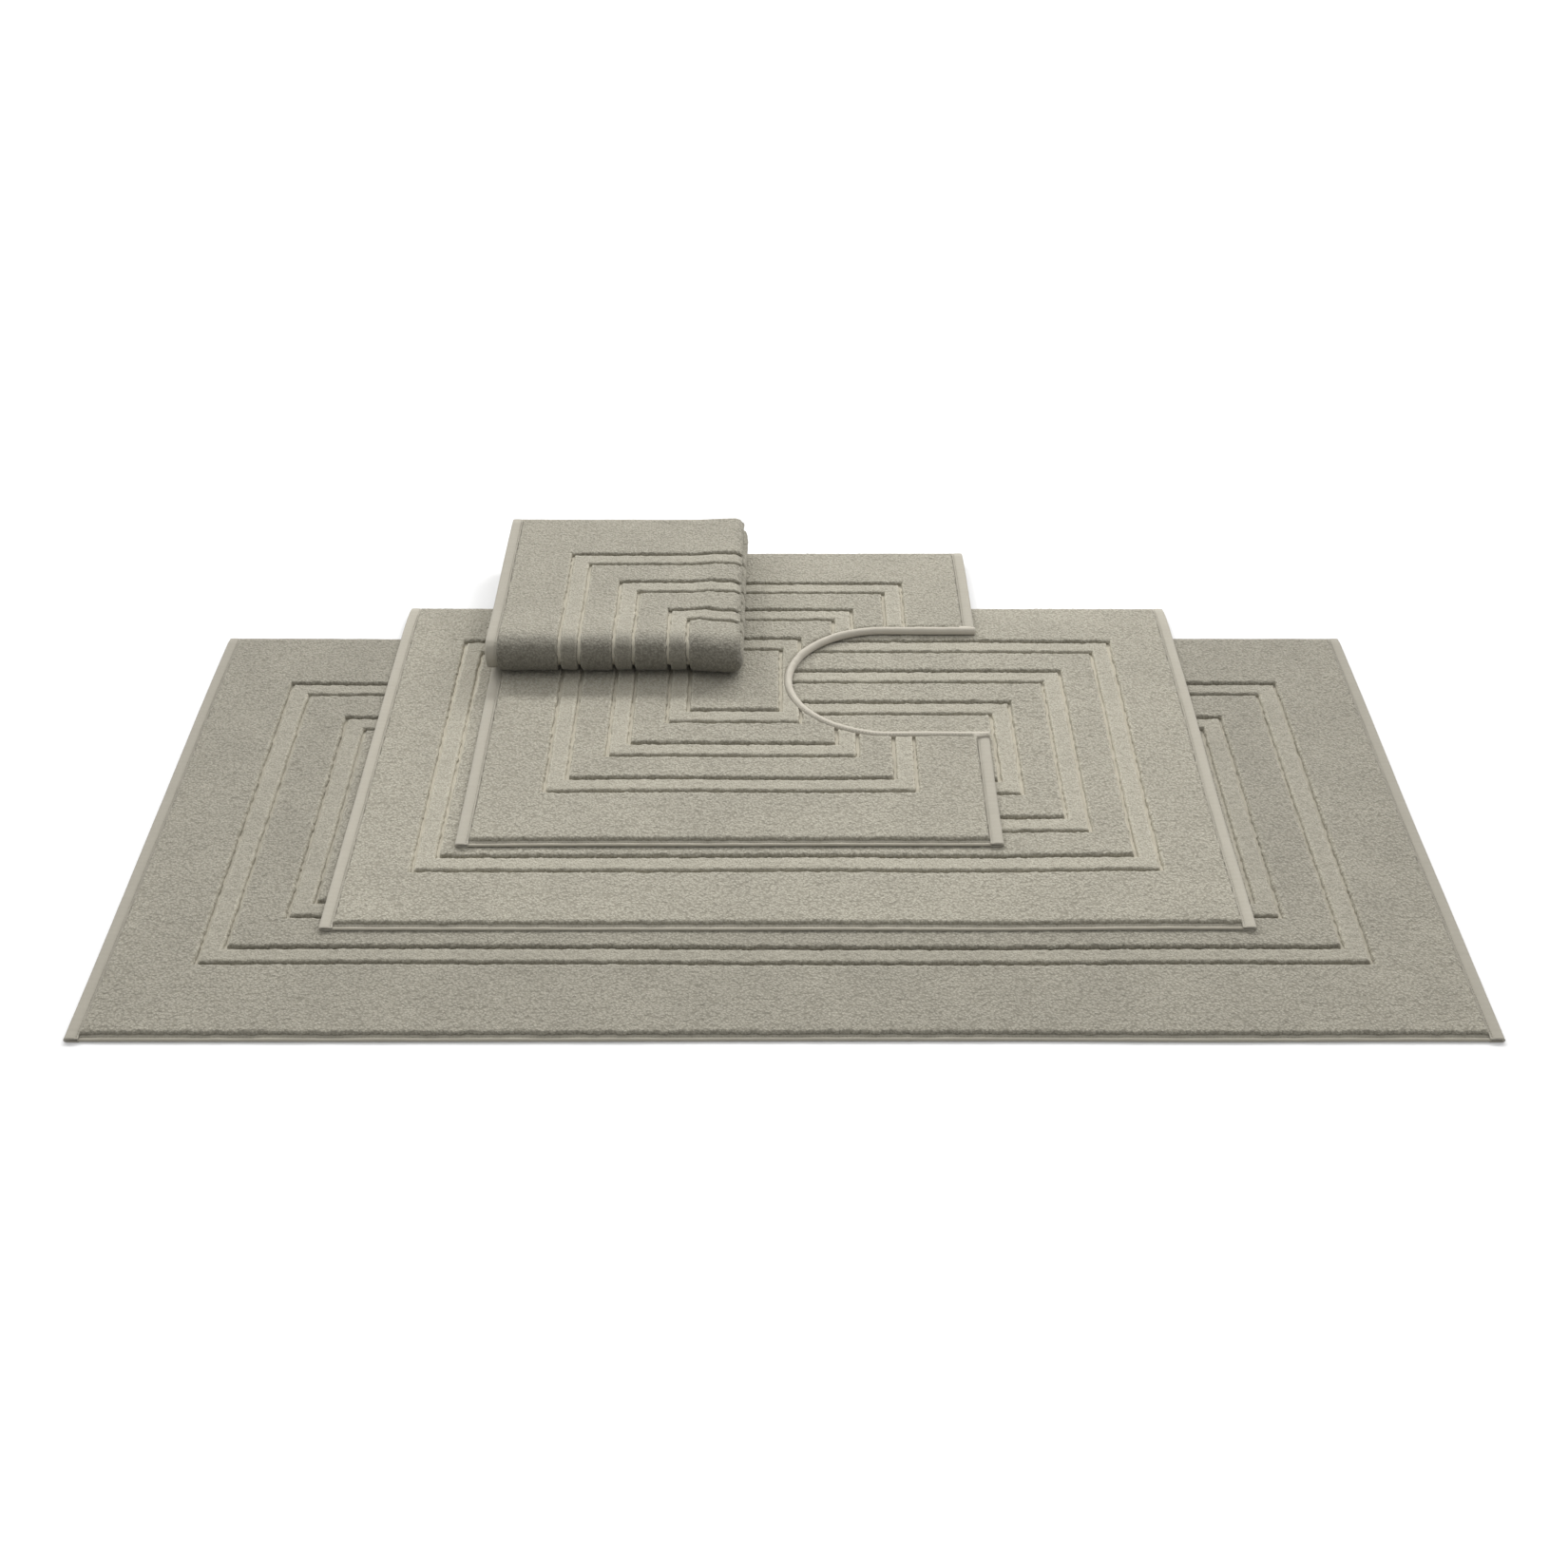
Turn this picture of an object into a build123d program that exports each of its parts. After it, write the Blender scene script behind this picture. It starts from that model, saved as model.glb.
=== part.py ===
from build123d import *
from dataclasses import dataclass
import os

# Four terry bath mats of one weave, stacked: a large mat, a medium mat on it, a pedestal mat
# with a U-shaped cutout on that, and a small mat folded in quarters on top.
# The origin is the centre of the large mat's underside. +X runs along the mats' long sides,
# +Y towards their back edges, +Z up. Lengths are in millimetres.

# Weave
GROUND = 2.0            # thickness of the flat-woven ground cloth
PILE = 6.0              # height of the terry loops on it
MAT = GROUND + PILE
GROOVE = 3.6            # loop-free line between two fields of pile
AIR = 0.3               # clearance between two mats that lie on each other

# Hems, stitching and binding
SIDE_HEM = 15.0         # width of the double-folded left and right hems
SIDE_HEM_T = 5.0
END_HEM = 7.0           # width of the rolled front and back hems
END_HEM_T = 4.0
HEM_ROUND = 1.8         # rounding of a hem's outer edges
THREAD = 0.7            # width of a row of stitches
THREAD_T = 0.4
SEAM_INSET = 2.5        # from a hem's inner edge to its row of stitches
TAPE = 8.0              # width of the bias tape around the cutout

# Cutout of the pedestal mat, open towards +X
CUT_A = 118.0           # half length of the round end
CUT_B = 106.0           # half width
CUT_TIP = 69.0          # from the mat's centre to the round end's tip

# Folded mat: four layers, folded at its right side and then at its front
FOLD_LAYER = 12.5       # thickness of one loosely folded layer
FOLD_W = 308.0
FOLD_D = 317.0
FOLD_LEFT = -362.0      # its left side
FOLD_FRONT = 233.0      # its front turn
FOLD_STEP = 3.0         # the upper half's right turn stands this much further in
FOLD_MID = 3 * (MAT + AIR) + 2 * FOLD_LAYER     # height of the plane between the two halves
LAYER_GAP = 0.3


@dataclass
class Mat:
    name: str
    width: float        # along X
    depth: float        # along Y
    x: float            # centre
    y: float
    z: float            # underside
    ring_x: tuple       # half width of the outermost groove, band width, panel width
    ring_y: tuple       # the same along Y


LARGE = Mat("large", 1412.0, 704.0, 0.0, 0.0, 0.0,
            (602.0, 25.0, 54.0), (247.0, 23.0, 47.0))
MEDIUM = Mat("medium", 978.0, 618.0, 3.5, 109.0, MAT + AIR,
             (404.0, 24.0, 44.0), (220.0, 24.0, 42.0))
PEDESTAL = Mat("pedestal", 600.0, 620.0, -59.0, 235.0, 2 * (MAT + AIR),
               (211.0, 24.0, 42.0), (220.0, 24.0, 42.0))
FIELDS = ("border_pile", "outer_band", "outer_panel", "middle_band",
          "inner_panel", "inner_band", "centre_pile")


def save(shape, name):
    export_step(shape, f"parts/{name}.step")


def slab(x0, x1, y0, y1, z0, z1):
    """A plain block between two corners."""
    return Pos((x0 + x1) / 2, (y0 + y1) / 2, (z0 + z1) / 2) * Box(x1 - x0, y1 - y0, z1 - z0)


def centred(mat, half_x, half_y, z0, z1):
    """A block centred on a mat, its heights counted from the mat's underside."""
    return slab(mat.x - half_x, mat.x + half_x, mat.y - half_y, mat.y + half_y,
                mat.z + z0, mat.z + z1)


def grooves(first, band, panel):
    """Half sizes of the six grooves, from the outermost in."""
    sizes = [first]
    for step in (band, panel, band, panel, band):
        sizes.append(sizes[-1] - step)
    return sizes


def ground_cloth(mat):
    return centred(mat, mat.width / 2 - SIDE_HEM, mat.depth / 2 - END_HEM, 0, GROUND)


def pile_fields(mat):
    """The border, three bands, two panels and the centre, each a frame of loops."""
    lines = list(zip(grooves(*mat.ring_x), grooves(*mat.ring_y)))
    half = GROOVE / 2
    outer = [(mat.width / 2 - SIDE_HEM, mat.depth / 2 - END_HEM)]
    outer += [(x - half, y - half) for x, y in lines]
    inner = [(x + half, y + half) for x, y in lines]
    shapes = []
    for i, (x, y) in enumerate(outer):
        shape = centred(mat, x, y, GROUND, MAT)
        if i < len(inner):
            shape -= centred(mat, *inner[i], GROUND, MAT)
        shapes.append(shape)
    return dict(zip(FIELDS, shapes))


def rounded(block, along, outward):
    """A hem with its two outer long edges rounded."""
    edges = block.edges().filter_by(along)
    across = Axis.X if along == Axis.Y else Axis.Y
    edges = edges.sort_by(across)
    return fillet(edges[-2:] if outward > 0 else edges[:2], HEM_ROUND)


def side_hem(mat, side):
    x = mat.x + side * mat.width / 2
    x0, x1 = sorted((x, x - side * SIDE_HEM))
    block = slab(x0, x1, mat.y - mat.depth / 2, mat.y + mat.depth / 2, mat.z, mat.z + SIDE_HEM_T)
    return rounded(block, Axis.Y, side)


def end_hem(mat, side):
    y = mat.y + side * mat.depth / 2
    y0, y1 = sorted((y, y - side * END_HEM))
    half = mat.width / 2 - SIDE_HEM
    block = slab(mat.x - half, mat.x + half, y0, y1, mat.z, mat.z + END_HEM_T)
    return rounded(block, Axis.X, side)


def hem_stitches(mat):
    """One row of thread along each of the four hems."""
    rows = []
    for side in (-1, 1):
        x = mat.x + side * (mat.width / 2 - SIDE_HEM + SEAM_INSET)
        rows.append(slab(x - THREAD / 2, x + THREAD / 2,
                         mat.y - mat.depth / 2 + SEAM_INSET, mat.y + mat.depth / 2 - SEAM_INSET,
                         mat.z + SIDE_HEM_T, mat.z + SIDE_HEM_T + THREAD_T))
        y = mat.y + side * (mat.depth / 2 - END_HEM + SEAM_INSET)
        half = mat.width / 2 - SIDE_HEM - SEAM_INSET
        rows.append(slab(mat.x - half, mat.x + half, y - THREAD / 2, y + THREAD / 2,
                         mat.z + END_HEM_T, mat.z + END_HEM_T + THREAD_T))
    return Compound(children=rows)


def cutout(grow, z0, z1):
    """The U-shaped opening, grown by some millimetres, from height z0 to z1 of the mat."""
    centre = PEDESTAL.x + CUT_TIP + CUT_A
    mouth = PEDESTAL.x + PEDESTAL.width / 2 + 50 - centre
    outline = Ellipse(CUT_A + grow, CUT_B + grow)
    outline += Pos(mouth / 2, 0) * Rectangle(mouth, 2 * (CUT_B + grow))
    place = Pos(centre, PEDESTAL.y, PEDESTAL.z + z0)
    return place * extrude(outline, z1 - z0)


def binding_tape():
    """The bias tape folded over the cutout's edge, from one corner of the mouth to the other."""
    tape = cutout(TAPE, 0, MAT) - cutout(0, 0, MAT)
    return tape & centred(PEDESTAL, PEDESTAL.width / 2, PEDESTAL.depth / 2, 0, MAT)


def binding_stitches():
    outside = TAPE - SEAM_INSET
    row = cutout(outside, MAT, MAT + THREAD_T) - cutout(outside - THREAD, MAT, MAT + THREAD_T)
    return row & centred(PEDESTAL, PEDESTAL.width / 2 - 1, PEDESTAL.depth / 2, MAT, MAT + 1)


def flat_mat(mat, cut=None):
    """Saves one flat mat's pieces, with the cutout taken from each where there is one."""
    pieces = {"ground_cloth": ground_cloth(mat)}
    pieces.update(pile_fields(mat))
    pieces["left_hem"] = side_hem(mat, -1)
    pieces["right_hem"] = side_hem(mat, 1)
    pieces["front_hem"] = end_hem(mat, -1)
    pieces["back_hem"] = end_hem(mat, 1)
    pieces["hem_stitches"] = hem_stitches(mat)
    for name, shape in pieces.items():
        save(shape - cut if cut else shape, f"{mat.name}_{name}")


def leaves_right(half):
    """Where a half's layers end and its right turn begins."""
    return FOLD_LEFT + FOLD_W - FOLD_LAYER - (FOLD_STEP if half > 0 else 0)


def leaf(half, level):
    """One layer of the folded mat, without its turns and hems."""
    z = half * LAYER_GAP / 2 + half * level * FOLD_LAYER
    z0, z1 = sorted((z, z + half * (FOLD_LAYER - LAYER_GAP)))
    return slab(FOLD_LEFT + SIDE_HEM, leaves_right(half), FOLD_FRONT + 2 * FOLD_LAYER,
                FOLD_FRONT + FOLD_D - END_HEM, FOLD_MID + z0, FOLD_MID + z1)


def quadrant(radius, half, x0, x1):
    """A quarter-round bar along X at the front turn: above mid-height for half = 1, else below."""
    bar = Pos(x0, FOLD_FRONT + 2 * FOLD_LAYER, FOLD_MID) * Rot(0, 90, 0) * Cylinder(
        radius, x1 - x0, align=(Align.CENTER, Align.CENTER, Align.MIN))
    z0, z1 = sorted((half * LAYER_GAP / 2, half * 3 * FOLD_LAYER))
    keep = slab(x0, x1, FOLD_FRONT - 1, FOLD_FRONT + 2 * FOLD_LAYER, FOLD_MID + z0, FOLD_MID + z1)
    return bar & keep


def front_turns(half):
    """The outer wrap and the inner wrap of the front turn, halved at mid-height."""
    right = leaves_right(half)
    inner = quadrant(FOLD_LAYER - LAYER_GAP / 2, half, FOLD_LEFT, right)
    outer = quadrant(2 * FOLD_LAYER - LAYER_GAP / 2, half, FOLD_LEFT, right)
    return outer - quadrant(FOLD_LAYER + LAYER_GAP / 2, half, FOLD_LEFT, right), inner


def right_turn(half):
    """The round edge at the right, where two layers join."""
    x = leaves_right(half)
    radius = FOLD_LAYER - LAYER_GAP / 2
    y0 = FOLD_FRONT + 2 * FOLD_LAYER
    length = FOLD_D - 2 * FOLD_LAYER - END_HEM
    roll = Pos(x, y0, FOLD_MID + half * FOLD_LAYER) * Rot(-90, 0, 0) * Cylinder(
        radius, length, align=(Align.CENTER, Align.CENTER, Align.MIN))
    z0, z1 = sorted((half * LAYER_GAP / 2, half * 3 * FOLD_LAYER))
    return roll & slab(x, x + radius, y0, y0 + length, FOLD_MID + z0, FOLD_MID + z1)


def folded_hems(half):
    """The side hems at the left and the end hems at the back of one half's two layers."""
    right = leaves_right(half)
    sides = []
    ends = []
    for level in (0, 1):
        z = FOLD_MID + half * (level + 0.5) * FOLD_LAYER
        sides.append(slab(FOLD_LEFT, FOLD_LEFT + SIDE_HEM, FOLD_FRONT + 2 * FOLD_LAYER,
                          FOLD_FRONT + FOLD_D, z - SIDE_HEM_T / 2, z + SIDE_HEM_T / 2))
        ends.append(slab(FOLD_LEFT + SIDE_HEM, right, FOLD_FRONT + FOLD_D - END_HEM,
                         FOLD_FRONT + FOLD_D, z - END_HEM_T / 2, z + END_HEM_T / 2))
    return Compound(children=sides), Compound(children=ends)


def folded_mat():
    """Saves the folded mat's two halves, which open at the front turn."""
    for half, name in ((-1, "folded_lower"), (1, "folded_upper")):
        outer_turn, inner_turn = front_turns(half)
        side_hems, end_hems = folded_hems(half)
        save(leaf(half, 1), f"{name}_outer_leaf")
        save(leaf(half, 0), f"{name}_inner_leaf")
        save(outer_turn, f"{name}_outer_turn")
        save(inner_turn, f"{name}_inner_turn")
        save(right_turn(half), f"{name}_right_turn")
        save(side_hems, f"{name}_side_hems")
        save(end_hems, f"{name}_end_hems")


os.makedirs("parts", exist_ok=True)
flat_mat(LARGE)
flat_mat(MEDIUM)
flat_mat(PEDESTAL, cutout(TAPE, 0, MAT + 1))
save(binding_tape(), "pedestal_binding_tape")
save(binding_stitches(), "pedestal_binding_stitches")
folded_mat()
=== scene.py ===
import math

import bpy
import numpy as np
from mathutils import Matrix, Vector


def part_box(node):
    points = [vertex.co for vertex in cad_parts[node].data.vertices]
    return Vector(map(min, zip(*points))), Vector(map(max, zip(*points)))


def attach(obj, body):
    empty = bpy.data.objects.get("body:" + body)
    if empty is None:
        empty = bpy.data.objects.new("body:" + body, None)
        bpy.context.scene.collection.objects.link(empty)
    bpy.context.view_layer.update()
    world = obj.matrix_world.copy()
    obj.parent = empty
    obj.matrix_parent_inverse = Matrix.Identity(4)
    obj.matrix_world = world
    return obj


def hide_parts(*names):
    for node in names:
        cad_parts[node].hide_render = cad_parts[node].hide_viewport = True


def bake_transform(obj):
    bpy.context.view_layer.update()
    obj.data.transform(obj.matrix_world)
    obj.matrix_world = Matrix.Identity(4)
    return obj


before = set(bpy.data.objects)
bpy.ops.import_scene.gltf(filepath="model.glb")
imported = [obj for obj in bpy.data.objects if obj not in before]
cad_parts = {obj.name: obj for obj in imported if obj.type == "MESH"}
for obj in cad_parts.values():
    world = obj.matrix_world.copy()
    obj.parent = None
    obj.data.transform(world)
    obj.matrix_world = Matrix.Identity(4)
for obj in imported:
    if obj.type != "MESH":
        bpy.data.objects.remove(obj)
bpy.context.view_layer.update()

# Four terry bath mats of one weave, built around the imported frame. Lengths are in metres.

# Cloth, as in the frame
GROUND = 0.002              # flat-woven ground cloth
PILE_TOP = 0.008            # its height with the loops on it
GROOVE = 0.0036             # loop-free line between two fields
SIDE_SHOULDER = 0.0022      # how far in from a field's left or right edge the loops are full
FRONT_SHOULDER = 0.0026     # the same from an edge that faces the front, where loops lean out
BACK_SHOULDER = 0.0036      # and from one that faces the back, where they are laid down
LEAN = 0.0012               # how far the loops lean out over a groove in front of them
BLOOM = 0.0008              # and over a groove behind them
SIDE_PAINTED_LIGHT = 0.45            # how much painted light lightens the loops along a groove at a side, against the groove's shade
SIDE_PAINTED_LIGHT_WIDTH = 0.0035    # and how far into the field that reaches
BLOOM_WIDTH = 0.004         # how far from a back edge the loops are spread
TAPE_SHOULDER = 0.007       # the pile's shoulder where the cutout's tape presses it down
BAND_LOWER = 0.0005         # how much shorter the bands' loops are
ROOT = 0.0006               # how deep a field's underside lies in the ground cloth
FIELDS = ("border_pile", "outer_band", "outer_panel", "middle_band",
          "inner_panel", "inner_band", "centre_pile")
BANDS = ("outer_band", "middle_band", "inner_band")

# Hems, stitches and tape
SIDE_HEM = 0.015            # width of the double-folded left and right hems
END_HEM = 0.007             # width of the rolled front and back hems
SEAM_INSET = 0.0025         # from a hem's inner edge to its stitches
STITCH_PITCH = 0.0036
STITCH_LENGTH = 0.0028
STITCH_R = 0.00038
TAPE = 0.008                # width of the tape bound round the cutout
CUTOUT_END = 0.118          # half length of the ellipse that rounds the cutout's end
TUCK = 0.019                # length of the tape's folded-under ends at the cutout's mouth
SIDE_SEAM_TOP = 0.0043      # heights at which the seams' stitches lie
END_SEAM_TOP = 0.0030
TAPE_SEAM_TOP = 0.0079

# The stack
MEDIUM_DROOP = 0.005        # how far the free back edges hang down
PEDESTAL_DROOP = 0.007
# each mat's colours scaled lighter or darker: painted light and shade for how the light falls on
# that mat
MAT_PAINTED_LIGHT = {"large": 0.75, "medium": 0.91, "pedestal": 0.885, "folded": 0.845}

# Grid steps, from the coarse ground cloth to the pile
GROUND_STEP = 0.01
CUT_GROUND_STEP = 0.004
FOLDED_GROUND_STEP = 0.0024     # leaves no line of points on the crease itself
LARGE_STEP = 0.0021
MEDIUM_STEP = 0.0019
PEDESTAL_STEP = 0.0018
FOLDED_STEP = 0.0021
HEM_STEP = 0.002

# The pile's painted shade where the folded mat bends at its front, whose face turns away from the
# light; the loops also part there
BEND_SHADE_FROM, BEND_SHADE_TO = 0.010, 0.044       # distance from the turn's middle
BEND_SHADE_LEVEL = 0.57

# ---------------------------------------------------------------- smooth noise

class Noise:
    """Value noise on a square lattice of random numbers, from -1 to 1."""

    def __init__(self, cell, seed, size=257):
        self.cell = cell
        self.size = size
        self.table = np.random.default_rng(seed).uniform(-1, 1, (size, size))

    def __call__(self, x, y):
        gx, gy = np.asarray(x) / self.cell, np.asarray(y) / self.cell
        ix, iy = np.floor(gx).astype(int), np.floor(gy).astype(int)
        fx, fy = gx - ix, gy - iy
        fx, fy = fx * fx * (3 - 2 * fx), fy * fy * (3 - 2 * fy)
        x0, x1 = ix % self.size, (ix + 1) % self.size
        y0, y1 = iy % self.size, (iy + 1) % self.size
        low = self.table[x0, y0] * (1 - fx) + self.table[x1, y0] * fx
        high = self.table[x0, y1] * (1 - fx) + self.table[x1, y1] * fx
        return low * (1 - fy) + high * fy


def smooth(t):
    """0 below 0, 1 above 1, and a smooth step between."""
    t = np.clip(t, 0, 1)
    return t * t * (3 - 2 * t)


rise = Noise(0.16, 1)           # the stack's gentle unevenness, shared by all its mats
sway_x = Noise(0.21, 2)         # the cloth's sideways wander
sway_y = Noise(0.21, 3)
tuft = Noise(0.009, 4)          # clumps of loops
loop = Noise(0.0026, 5)         # single loops
fringe = Noise(0.0032, 6)       # the ragged edge of a field


# ---------------------------------------------------------------- cloth maps

class Flat:
    """A mat that lies flat. Its cloth coordinates are the frame's own x and y."""

    def __init__(self, name, body, supported=10.0, droop=0.0):
        self.name = name
        self.body = body
        self.supported = supported      # the y up to which another mat lies beneath it
        self.droop = droop              # how far its free back edge hangs down
        left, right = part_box(f"{name}_left_hem"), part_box(f"{name}_right_hem")
        self.x0, self.x1 = left[0].x, right[1].x
        self.y0, self.y1 = left[0].y, left[1].y
        self.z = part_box(f"{name}_ground_cloth")[0].z
        boxes = [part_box(f"{name}_{field}") for field in FIELDS]
        self.outer = [(lo.x, hi.x, lo.y, hi.y) for lo, hi in boxes]

    def place(self, u, v, h):
        u, v, h = np.broadcast_arrays(np.asarray(u, float), v, h)
        seed = self.z * 40
        x = u + 0.0011 * sway_x(u + seed, v)
        y = v + 0.0011 * sway_y(u, v + seed)
        lift = 0.0007 * (rise(u + 3, v + 3) - 1) if self.z > 0.001 else 0
        free = np.clip((v - self.supported) / (self.y1 - self.supported), 0, 1)
        return np.stack([x, y, self.z + h + lift - self.droop * free ** 2], -1)

    def from_back(self, v):
        """How far a cloth point lies in from an end that is at the back."""
        return self.y1 - v


class Folded:
    """The small mat, folded in quarters: first at its right side, then at its front.

    Cloth coordinates have their origin at the mat's centre. u < 0 is the half that ends on
    top, v > 0 the half that ends in the upper pair of layers."""

    name = "folded"
    half_x, half_y = 0.306, 0.3165      # half the flat mat's sides
    rings_x = (0.216, 0.024, 0.042)     # outermost groove, band and panel
    rings_y = (0.2215, 0.024, 0.042)
    fluff = 1.12                # its loops stand a little higher, unpressed
    gap = 0.0012                # between the backs of two layers, to their middle
    turn = 0.0046               # inside radius of the right turn
    crease = 0.0026             # inside radius of the front turn
    spread = 0.080              # how far the front turn's swelling reaches into the flat cloth
    side_spread = 0.052         # and the right turn's
    loft = 0.0006               # between the faces of two layers, to their middle
    press = 0.0038              # how much thinner the upper half is than its layers' free height
    clear = 0.0011              # at least, from a face to the plane between the halves
    spare = 0.0013              # between the upper half, when opened, and the mat beneath

    def __init__(self):
        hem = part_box("folded_upper_side_hems")
        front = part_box("folded_lower_outer_turn")
        self.left = hem[0].x
        self.z = front[0].z
        self.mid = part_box("folded_upper_outer_turn")[0].z
        self.x0, self.x1 = -self.half_x, self.half_x
        self.y0, self.y1 = -self.half_y, self.half_y
        self.full = PILE_TOP * self.fluff
        self.low = 2 * (self.gap + self.full) + self.loft     # the halves' free height at the left
        radius = self.crease + 2 * self.gap + 2 * self.full + self.loft
        self.turn_y = front[0].y + radius
        self.outer = [(self.x0 + SIDE_HEM, self.x1 - SIDE_HEM,
                       self.y0 + END_HEM, self.y1 - END_HEM)]
        x, y = self.rings_x[0], self.rings_y[0]
        for i in range(len(FIELDS) - 1):
            g = GROOVE / 2
            self.outer.append((-x + g, x - g, -y + g, y - g))
            x -= self.rings_x[1 + i % 2]
            y -= self.rings_y[1 + i % 2]

    def place(self, u, v, h):
        u, v, h = np.broadcast_arrays(np.asarray(u, float), v, h)
        u = u + 0.0008 * sway_x(u + 5, v)
        v = v + 0.0008 * sway_y(u, v + 5)
        # the right turn, as a section of two layers about the plane between their backs
        s = np.abs(u)
        h = h * self.fluff
        spring = 1 - 0.45 * smooth(np.abs(v) / self.half_y)
        turn = self.gap + (self.turn - self.gap) * spring
        quarter = math.pi / 2 * (turn + GROUND / 2)
        turn_x = self.left + self.half_x - quarter
        flat = s - quarter
        off = self.gap + (turn - self.gap) * (1 - smooth((flat - 0.006) / self.side_spread))
        angle = np.clip(s / (turn + GROUND / 2), 0, math.pi / 2)
        r = turn + h
        x = np.where(flat < 0, turn_x + r * np.cos(angle), turn_x - flat)
        w = np.where(flat < 0, r * np.sin(angle), off + h) * np.where(u < 0, 1, -1)
        layer = np.where(flat < 0, turn, off) + self.full + self.loft
        # the front turn, about the line where the inner layers meet
        ground_r = self.crease + layer + np.clip(w, -off - GROUND, off + GROUND) * 0.9
        q = math.pi / 2 * ground_r
        flat_y = np.abs(v) - q
        opened = self.crease - (self.crease - 0.0003) * smooth(flat_y / self.spread)
        rho = np.maximum(opened + layer + w, self.clear)
        full = opened + 2 * layer - self.loft
        theta = np.clip(np.abs(v) / ground_r, 0, math.pi / 2)
        y = np.where(flat_y < 0, self.turn_y - rho * np.cos(theta), self.turn_y + flat_y)
        # the halves meet at a plane, where they open
        away = np.where(flat_y < 0, rho * np.sin(theta), rho) / full
        below = self.mid - self.z
        above = self.low - self.press + 1.6 * (full - self.low)
        above = np.minimum(above * (1 + 0.02 * rise(x + 3, y + 3)), below - self.spare)
        z = self.mid + np.where(v > 0, above, -below) * away
        step = 0.0022 * np.tanh(v / 0.03) * smooth((x - turn_x + 0.12) / 0.12)
        return np.stack([x - step, y, z], -1)

    def from_back(self, v):
        """The same as on a flat mat: both its ends are at the back."""
        return self.half_y - abs(v)


# ---------------------------------------------------------------- the cutout of the pedestal mat

class Cutout:
    """The U-shaped opening's outline, from the tape's box."""

    def __init__(self):
        lo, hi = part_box("pedestal_binding_tape")
        self.b = (hi.y - lo.y) / 2 - TAPE
        self.a = CUTOUT_END
        self.y = (lo.y + hi.y) / 2
        self.x = lo.x + TAPE + self.a
        self.mouth = hi.x
        self.area = math.pi / 2 * self.a * self.b + 2 * self.b * (self.mouth - self.x)

    def distance(self, u, v):
        """Roughly how far outside the opening's edge a point lies, into the cloth."""
        du, dv = u - self.x, np.abs(v - self.y)
        k = np.sqrt((du / self.a) ** 2 + (dv / self.b) ** 2) + 1e-9
        slope = np.sqrt((du / self.a ** 2) ** 2 + (dv / self.b ** 2) ** 2) + 1e-9
        return np.where(du > 0, dv - self.b, (k - 1) * k / slope)

    def path(self, step):
        """Points along the edge from the lower mouth corner to the upper, with their normals."""
        run = self.mouth - self.x
        n = int(run / step)
        xs = np.linspace(self.mouth, self.x, n, endpoint=False)
        low = np.stack([xs, np.full(n, self.y - self.b)], -1)
        low_n = np.tile([0.0, -1.0], (n, 1))
        m = int(math.pi * (self.a + self.b) / 2 / step)
        t = np.linspace(-math.pi / 2, -3 * math.pi / 2, m + 1)
        arc = np.stack([self.x + self.a * np.cos(t), self.y + self.b * np.sin(t)], -1)
        normal = np.stack([np.cos(t) / self.a, np.sin(t) / self.b], -1)
        normal /= np.linalg.norm(normal, axis=1)[:, None]
        high = (low * [1, -1] + [0, 2 * self.y])[::-1]
        high_n = -low_n
        return np.concatenate([low, arc, high]), np.concatenate([low_n, normal, high_n])


# ---------------------------------------------------------------- meshes

def make(name, points, faces, cloth_uv, material, body, node=None, slot=None):
    """A smooth-shaded piece from points and a list of face arrays, each with a fixed width."""
    mesh = bpy.data.meshes.new("soft_" + name)
    loops = np.concatenate([f.ravel() for f in faces]).astype(np.int32)
    totals = np.concatenate([np.full(len(f), f.shape[1]) for f in faces])
    starts = np.concatenate([[0], np.cumsum(totals)[:-1]]).astype(np.int32)
    mesh.vertices.add(len(points))
    mesh.vertices.foreach_set("co", np.asarray(points, np.float32).ravel())
    mesh.loops.add(len(loops))
    mesh.loops.foreach_set("vertex_index", loops)
    mesh.polygons.add(len(totals))
    mesh.polygons.foreach_set("loop_start", starts)
    mesh.update(calc_edges=True)
    mesh.validate()
    mesh.polygons.foreach_set("use_smooth", np.ones(len(mesh.polygons), bool))
    uv = mesh.uv_layers.new(name="Cloth")
    loops_now = np.zeros(len(mesh.loops), np.int32)
    mesh.loops.foreach_get("vertex_index", loops_now)
    uv.data.foreach_set("uv", np.asarray(cloth_uv, np.float32)[loops_now].ravel())
    mesh.materials.append(material)
    piece = bpy.data.objects.new("soft_" + name, mesh)
    bpy.context.scene.collection.objects.link(piece)
    if body:
        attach(piece, body)
    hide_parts(*(node or [name]))
    return piece


def graded(breaks, step):
    """Grid lines over the breaks, close together beside each one."""
    near = np.array([0, 0.0005, 0.0012, 0.0022, 0.0036])
    lines = []
    for a, b in zip(breaks[:-1], breaks[1:]):
        if b - a < 3 * near[-1]:
            lines.append(np.linspace(a, b, max(3, int((b - a) / 0.0008))))
            continue
        inner = np.linspace(a + near[-1], b - near[-1], max(2, int((b - a) / step)))
        lines.append(np.concatenate([a + near[:-1], inner, b - near[:-1][::-1]]))
    return np.unique(np.round(np.concatenate(lines), 7))


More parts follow.
